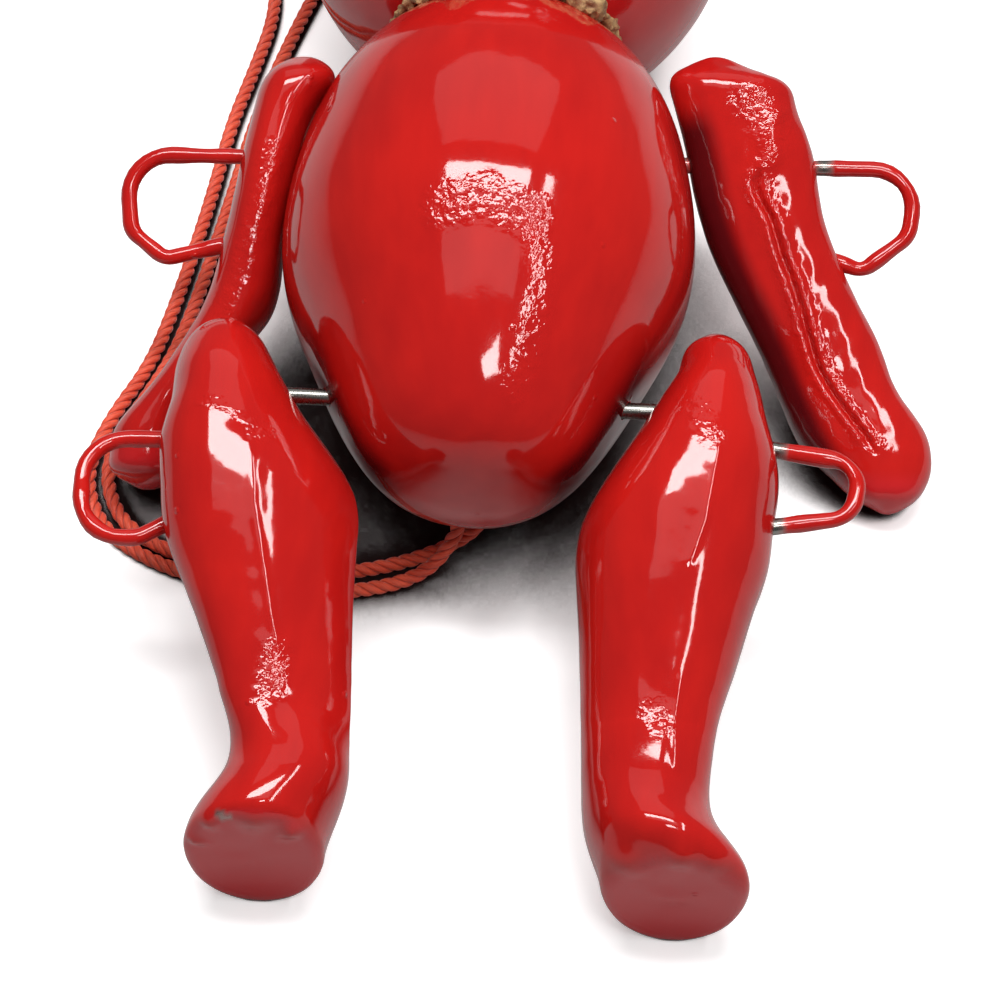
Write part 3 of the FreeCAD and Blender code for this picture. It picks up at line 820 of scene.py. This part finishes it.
class JumpingJackArms(bpy.types.Operator):
    """Carves the two arms"""
    bl_idname = "jumping_jack.arms"
    bl_label = "Arms"

    def execute(self, context):
        red = lacquer("lacquered arms", context.scene.jumping_jack_lacquer)
        self.left(red)
        self.right(red)
        return {"FINISHED"}

    def left(self, red):
        down = rows_down(LEFT_ARM, 260)[:, None]
        turn = full_turn(200)[None]
        out, depth = oval(LEFT_ARM, -1, down, turn, 2.3)
        skin = Skin("left arm", skewed(limb_point(out, down, depth, SHOULDER_Y, LEFT_ARM_SLOPE)))
        points = skin.rings
        skin.lift(0.022 * waves(points, 7, 21) + 0.008 * waves(points, 2.5, 22) - SUNK)
        line = beside_line(out, down, [(0.5, -24.2), (6.0, -25.1), (13.7, -27.3), (17.5, -28.7)])
        skin.layer("grain", smooth(2.2, 0.8, line) * smooth(2, 4, depth) * 0.8)
        # a less glossy red on the hand, partly painted light
        skin.layer("dull_and_painted_light", smooth(31, 35, down) * 0.8 * np.ones_like(turn))
        shown("left_arm_lacquered", skin.mesh(), red, "arms", "left_arm")

    def right(self, red):
        """A flatter arm, with a crease down its top where two coats met, and raised lips beside the crease."""
        down = rows_down(RIGHT_ARM, 380)[:, None]
        turn = full_turn(230)[None]
        out, depth = oval(RIGHT_ARM, 1, down, turn, 2.3)
        crease = spline(np.clip(down, -5.7, 32), [-5.7, -2.85, -0.5, 2.3, 5.4, 11.2, 17.0, 24.2, 27.9, 31.5],
                        [30.4, 29.9, 29.7, 28.55, 29.8, 31.9, 34.0, 36.7, 39.5, 42.0])
        aside = out - crease + 0.08 * waves(np.stack(np.broadcast_arrays(out * 0, down, out * 0), -1), 4, 33)
        top = smooth(0.5, 2.0, depth)
        run = smooth(0.5, 3.0, down) * smooth(32, 29.5, down) * top
        knob = smooth(-7.5, -5.0, down) * smooth(2.5, 0.0, down) * top
        skin = Skin("right arm", skewed(limb_point(out, down, depth, SHOULDER_Y, RIGHT_ARM_SLOPE)))
        points = skin.rings
        groove = 0.2 * hump(np.abs(aside) - 0.9, 0.6) - 0.8 * hump(aside, 0.28)
        roll = 0.4 * hump(aside - 0.2, 1.3)
        skin.lift(0.022 * waves(points, 7, 31) + 0.01 * waves(points, 2.2, 32) - SUNK + run * groove + knob * roll)
        beside = smooth(2.6, 0.7, np.abs(aside)) * smooth(-7, -5.5, down) * smooth(33, 30, down) * top
        rough = smooth(4.0, 1.5, beside_line(out, down, [(-6.5, 28.0), (-4.0, 30.0)])) * top
        skin.layer("grain", np.maximum(beside, rough))
        # a less glossy red on the hand, partly painted light
        skin.layer("dull_and_painted_light", smooth(33.0, 35.5, down) * np.ones_like(turn) * 0.8)
        # painted shade on the arm's inner wall, which faces the body
        skin.layer("shade", 0.9 * smooth(-0.3, -0.7, np.cos(turn)) * smooth(-7, -3, down) * smooth(37, 33, down))
        shown("right_arm_lacquered", skin.mesh(), red, "arms", "right_arm")


class JumpingJackLegs(bpy.types.Operator):
    """Carves the two legs, sawn flat at their soles"""
    bl_idname = "jumping_jack.legs"
    bl_label = "Legs"

    def execute(self, context):
        red = lacquer("lacquered legs", context.scene.jumping_jack_lacquer)
        self.leg("left", -1, LEFT_LEG, LEFT_SOLE, 1.2, -3.4, 41, red, {
            "sags": [[(9.5, -22.3), (16.0, -21.5), (22.1, -20.1), (28.2, -18.7), (31.2, -17.8)]],
            "rough": [[(5.8, -26.6), (6.4, -23.6), (7.6, -21.3)], [(31.0, -18.0), (35.0, -18.6)]],
            "beads": [(-23.6, -5.8, 0.9, 0.40), (-25.0, -9.6, 0.7, 0.35), (-19.0, -5.2, 1.5, 0.45),
                      (-15.4, -7.0, 1.0, 0.50), (-19.9, -13.6, 0.3, 0.12)],
            "chip": (-21.9, -4.6)})
        self.leg("right", 1, RIGHT_LEG, RIGHT_SOLE, 3.6, 0.6, 51, red, {
            "sags": [[(8.0, 25.4), (15.7, 24.4), (20.0, 23.0)], [(32.0, 22.6), (36.0, 22.2), (41.0, 22.6)]],
            "rough": [[(3.4, 23.1), (6.5, 24.5)], [(35.5, 20.0), (36.5, 21.0)]],
            "beads": [(17.6, -6.4, 1.8, 0.5), (23.6, -4.6, 1.5, 0.5), (27.2, -5.4, 1.7, 0.4)],
            "chip": None})
        return {"FINISHED"}

    def leg(self, name, side, sections, sole, toe, lean, seed, red, marks):
        """Columns of points run down the leg to the plane of its sole. Near that plane they turn in on a round
        rim, which is widest over the toe, and then run to the middle of the sole. The ridge of the leg leans to
        one side, sags of paint run down it, and beads of paint hang over the rim."""
        turn = full_turn(260)
        first = limb_sizes(sections, np.zeros(1))[4]
        probe = np.linspace(first, sections[-1][0], 900)[:, None]
        out, depth = oval(sections, side, probe, turn[None])
        reach = limb_point(out, probe, depth, HIP_Y, LEG_SLOPE)[..., 1]
        last = probe[np.argmax(reach < sole, axis=0), 0]
        last = np.where((reach < sole).any(axis=0), last, sections[-1][0])
        t = (1 - np.cos(np.linspace(0.012, 0.5, 330) * math.pi)) / 2 * 2
        t = t / t[-1]
        down = first + (last - first)[None] * t[:, None]
        out, depth = oval(sections, side, down, turn[None])
        crest = np.maximum(np.sin(turn), 0)
        out = out + lean * crest * smooth(-6, 12, down) * smooth(42, 34, down)
        depth = depth + crest * np.interp(down, [-4, 6, 36, 43], [0, 0.4, -0.9, 0])
        rings = limb_point(out, down, depth, HIP_Y, LEG_SLOPE)
        skin = Skin(name + " leg", rings)
        top = smooth(0, 2, depth)
        sag = np.min([beside_line(out, down, line) for line in marks["sags"]], axis=0)
        skin.lift(0.022 * waves(rings, 8, seed, stretch=(1, 2, 1)) + 0.006 * waves(rings, 2.6, seed + 1) - SUNK
                  + 0.10 * hump(sag, 0.45) * top)
        rough = np.min([beside_line(out, down, line) for line in marks["rough"]], axis=0)
        grain = smooth(2.2, 0.9, rough) * top
        rings = skin.rings
        middle = rings[-1].mean(axis=0)
        rim = 0.9 + (toe - 0.9) * smooth(0.1, 0.9, np.sin(turn))
        left = np.clip(rings[..., 1] - sole, 0, None)
        inset = rim - np.sqrt(np.clip(rim ** 2 - np.clip(rim - left, 0, rim) ** 2, 0, None))
        inward = (middle - rings) * [1, 0, 1]
        inward /= np.linalg.norm(inward, axis=-1)[..., None] + 1e-9
        rings = rings + inward * inset[..., None]
        rings[-1, :, 1] = sole
        edge = rings[-1:]
        centre = edge.mean(axis=1, keepdims=True)
        share = np.array([0.9, 0.78, 0.64, 0.5, 0.35, 0.2, 0.08])[:, None, None]
        flat = centre + (edge - centre) * share
        flat[..., 1] += 0.05 * waves(flat, 5, seed + 2) * (1 - share[..., 0]) * smooth(0, 0.3, 1 - share[..., 0])
        skin.rings = np.concatenate([rings, flat])
        points = skin.rings
        across, height = points[..., 0], points[..., 2]
        # a less glossy red on the sole, partly painted light
        skin.layer("dull_and_painted_light", smooth(sole + 0.5, sole + 0.1, points[..., 1]))
        for x, z, size, swell in marks["beads"]:
            bead = hump(np.hypot(across - x, height - z), size) * smooth(sole + 4, sole + 1, points[..., 1])
            points[..., 1] -= swell * bead
            skin.layer("dull_and_painted_light", skin.layers["dull_and_painted_light"] * (1 - bead))
        if marks["chip"]:
            x, z = marks["chip"]
            gap = np.hypot((across - x) / 1.5, height - z)
            skin.layer("bare", smooth(0.75, 0.45, gap) * smooth(sole + 1.5, sole + 0.8, points[..., 1]) * 0.8)
        skin.layer("grain", np.concatenate([grain, np.zeros(flat.shape[:2])]))
        shown(name + "_leg_lacquered", skin.mesh(), red, "legs", name + "_leg")


class JumpingJackWires(bpy.types.Operator):
    """Bends the shoulder wire and the hip wire, each one piece from loop to loop"""
    bl_idname = "jumping_jack.wires"
    bl_label = "Wires"

    def execute(self, context):
        coat = lacquer("lacquered wire", context.scene.jumping_jack_lacquer)
        left = self.side(-1, SHOULDER_Y, LEFT_ARM_SLOPE, LEFT_SHOULDER_TIP, LEFT_SHOULDER_LOOP, None)
        right = self.side(1, SHOULDER_Y, RIGHT_ARM_SLOPE, RIGHT_SHOULDER_TIP, RIGHT_SHOULDER_LOOP, None)
        self.wire("shoulder_wire", left, right, coat, "arms", BARE_SHOULDER, skewed)
        left = self.side(-1, HIP_Y, LEG_SLOPE, LEFT_HIP_TIP, LEFT_HIP_LOOP, LEFT_HIP_TURNS)
        right = self.side(1, HIP_Y, LEG_SLOPE, RIGHT_HIP_TIP, RIGHT_HIP_LOOP, RIGHT_HIP_TURNS)
        self.wire("hip_wire", left, right, coat, "legs", BARE_HIP, np.array)
        return {"FINISHED"}

    def side(self, side, axle_y, slope, tip, loop, turns):
        """Corners and bend radii of one side, from the tip to the crank."""
        corners = [limb_point(side * tip[0], tip[1], 0, axle_y, slope)]
        radii = [radius for out, down, radius in reversed(loop)]
        corners += [limb_point(side * out, down, 0, axle_y, slope) for out, down, radius in reversed(loop)]
        if turns:
            corners += [limb_point(side * turns[1], turns[2], 0, axle_y, slope),
                        np.array([side * turns[0], axle_y, 0])]
            radii += [CRANK_BEND, CRANK_BEND]
        corners += [np.array([side * CRANK_HALF, axle_y, 0]), np.array([side * CRANK_HALF, axle_y, -CRANK])]
        return corners, radii + [CRANK_BEND, CRANK_BEND]

    def wire(self, name, left, right, coat, body, bare, turned):
        """A wire of round section along the joined corners, whose film of paint wanders and is missing in places."""
        path = run_path(left[0] + right[0][::-1], left[1] + right[1][::-1])
        across = path[:, 0]
        film = np.ones(len(path))
        for low, high in bare:
            film *= 1 - smooth(low - 0.5, low + 0.5, across) * smooth(high + 0.5, high - 0.5, across)
        radius = WIRE_RADIUS - 0.02 + 0.05 * film * waves(path, 4, 61)
        rings = turned(tube_rings(path, radius))
        skin = Skin(name, rings)
        skin.layer("bare", np.broadcast_to((1 - film)[:, None], rings.shape[:2]))
        shown(name + "_coated", skin.mesh(), coat, body, name)


class JumpingJackCords(bpy.types.Operator):
    """Twists the pull cord and the short cords between the two cranks"""
    bl_idname = "jumping_jack.cords"
    bl_label = "Cords"

    def execute(self, context):
        twisted = cord_material(context.scene.jumping_jack_trim)
        centre = self.centreline(PULL_CORD)
        piece = shown("pull_cord_twisted", self.rope("pull cord", centre), twisted, "torso", "pull_cord")
        path = placed(centre)
        self.inside(twisted)
        return {"FINISHED"}

    def centreline(self, route):
        """The smooth line of the cord, read from a NURBS curve whose control points are the route's."""
        curve = bpy.data.curves.new("route", "CURVE")
        curve.dimensions = "3D"
        curve.resolution_u = 24
        line = curve.splines.new("NURBS")
        line.points.add(len(route) - 1)
        flat = np.array([(x, y, z - MIDDLE[2], 1.0) for x, y, z in route]).ravel()
        line.points.foreach_set("co", flat)
        line.order_u = 3
        line.use_endpoint_u = True
        holder = linked("route", curve)
        bpy.context.view_layer.update()
        points = points_of(bpy.data.meshes.new_from_object(holder))
        bpy.data.objects.remove(holder)
        return points

    def rope(self, name, centre, strands=3):
        """Three round strands, each a helix about the cord's line: centre + radius * (cos, sin) of its turn, one
        turn a pitch, begun a third of a turn apart."""
        gaps = np.linalg.norm(np.diff(centre, axis=0), axis=1)
        length = np.concatenate([[0], np.cumsum(gaps)])
        at = np.linspace(0, length[-1], max(int(length[-1] / 0.24), 12))
        line = np.stack([np.interp(at, length, centre[:, n]) for n in range(3)], axis=-1)
        first, second = square_to(line, (0.1, 0.8, 0.6))
        parts, faces, places, grooves, before = [], [], [], [], 0
        ring = full_turn(12)
        for n in range(strands):
            turn = 2 * math.pi * (at / PITCH + n / strands)
            spoke = np.cos(turn)[:, None] * first + np.sin(turn)[:, None] * second
            path = line + STRAND_OUT * spoke
            lay = unit(np.gradient(path, axis=0))
            side = unit(np.cross(lay, spoke))
            out = np.cross(side, lay)
            rings = path[:, None] + STRAND * spokes(ring, out, side)
            strand = Skin(name, rings).mesh()
            parts.append(points_of(strand))
            faces += [[v + before for v in face.vertices] for face in strand.polygons]
            where = np.stack([np.broadcast_to(ring / (2 * math.pi) * FIBRES, rings.shape[:2]),
                              np.broadcast_to(at[:, None], rings.shape[:2])], axis=-1).reshape(-1, 2)
            places.append(np.concatenate([where, where[:1], where[-1:]]))
            hidden = np.broadcast_to(smooth(0.35, -0.35, np.cos(ring)), rings.shape[:2]).ravel()
            grooves.append(np.concatenate([hidden, [0, 0]]))
            before += len(strand.vertices)
        mesh = smooth_mesh(name, np.concatenate(parts), faces)
        write_layer(mesh, "groove", np.concatenate(grooves))
        write_uv(mesh, np.concatenate(places))
        return mesh

    def inside(self, twisted):
        """The cord between the cranks, its two eyes, and the tail that runs down to the slot's mouth."""
        reach = WIRE_RADIUS + PLAY + CORD / 2
        drive = np.array([[0, HIP_Y + reach, -CRANK], [0, 0, -CRANK], [0, SHOULDER_Y - reach, -CRANK]])
        shown("drive_cord_twisted", self.rope("drive cord", drive), twisted, "drive_line", "drive_cord")
        turn = np.linspace(0, 2 * math.pi, 60)
        around = 18
        for name, along in (("shoulder_eye", SHOULDER_Y), ("hip_eye", HIP_Y)):
            loop = np.stack([0 * turn, along + reach * np.cos(turn), -CRANK + reach * np.sin(turn)], axis=-1)
            mesh = ring_mesh(name, tube_rings(loop[:-1], 0.74, around, (1.0, 0.0, 0.0)))
            write_layer(mesh, "groove", np.zeros(len(mesh.vertices)))
            row, column = np.divmod(np.arange(len(mesh.vertices)), around)
            write_uv(mesh, np.stack([column / around * FIBRES, row * 0.18], axis=-1))
            shown(name + "_twisted", mesh, twisted, "drive_line", name)
        tails = []
        for strand, after in ((0, 1), (-1, -2)):
            mouth, beyond = (np.array(PULL_CORD[n]) - [0, 0, MIDDLE[2]] for n in (strand, after))
            rise = mouth + unit(mouth - beyond) * 2.6
            knot = np.array([mouth[0], HIP_Y - reach - CORD / 2 - 0.35, -CRANK])
            tails.append(run_path([mouth, rise, knot + [0, -0.9, -0.3], knot], [0.9, 0.3], step=0.4))
        start, end = placed(np.array([[0, *tails[0][0][1:]], [0, HIP_Y, -CRANK]]))
        for name, path in zip(("cord_tail_left", "cord_tail_right"), tails):
            piece = linked(name, self.rope(name, path))
            piece.data.materials.append(twisted)
            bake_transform(piece)
            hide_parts("cord_tail")


class JumpingJackPanel(bpy.types.Panel):
    """Lists the steps in the sidebar"""
    bl_idname = "VIEW3D_PT_jumping_jack"
    bl_label = "Jumping Jack"
    bl_space_type = "VIEW_3D"
    bl_region_type = "UI"
    bl_category = "Jumping Jack"

    def draw(self, context):
        for step in STEPS:
            self.layout.operator(step.bl_idname)
        for group in (context.scene.jumping_jack_lacquer, context.scene.jumping_jack_trim,
                      context.scene.jumping_jack_studio):
            for name in group.__annotations__:
                self.layout.prop(group, name)


GROUPS = {
    "jumping_jack_lacquer": JumpingJackLacquer,
    "jumping_jack_trim": JumpingJackTrim,
    "jumping_jack_studio": JumpingJackStudio,
}
STEPS = (JumpingJackStage, JumpingJackBody, JumpingJackArms, JumpingJackLegs, JumpingJackWires, JumpingJackCords)


def register():
    for name, group in GROUPS.items():
        bpy.utils.register_class(group)
        setattr(bpy.types.Scene, name, bpy.props.PointerProperty(type=group))
    for step in (*STEPS, JumpingJackPanel):
        bpy.utils.register_class(step)


def unregister():
    for step in reversed((*STEPS, JumpingJackPanel)):
        bpy.utils.unregister_class(step)
    for name, group in GROUPS.items():
        delattr(bpy.types.Scene, name)
        bpy.utils.unregister_class(group)


def main():
    register()
    bpy.ops.jumping_jack.stage()
    bpy.ops.jumping_jack.body()
    bpy.ops.jumping_jack.arms()
    bpy.ops.jumping_jack.legs()
    bpy.ops.jumping_jack.wires()
    bpy.ops.jumping_jack.cords()
    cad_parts["neck_dowel"].data.materials.clear()
    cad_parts["neck_dowel"].data.materials.append(wood_material())


if __name__ == "__main__":
    main()
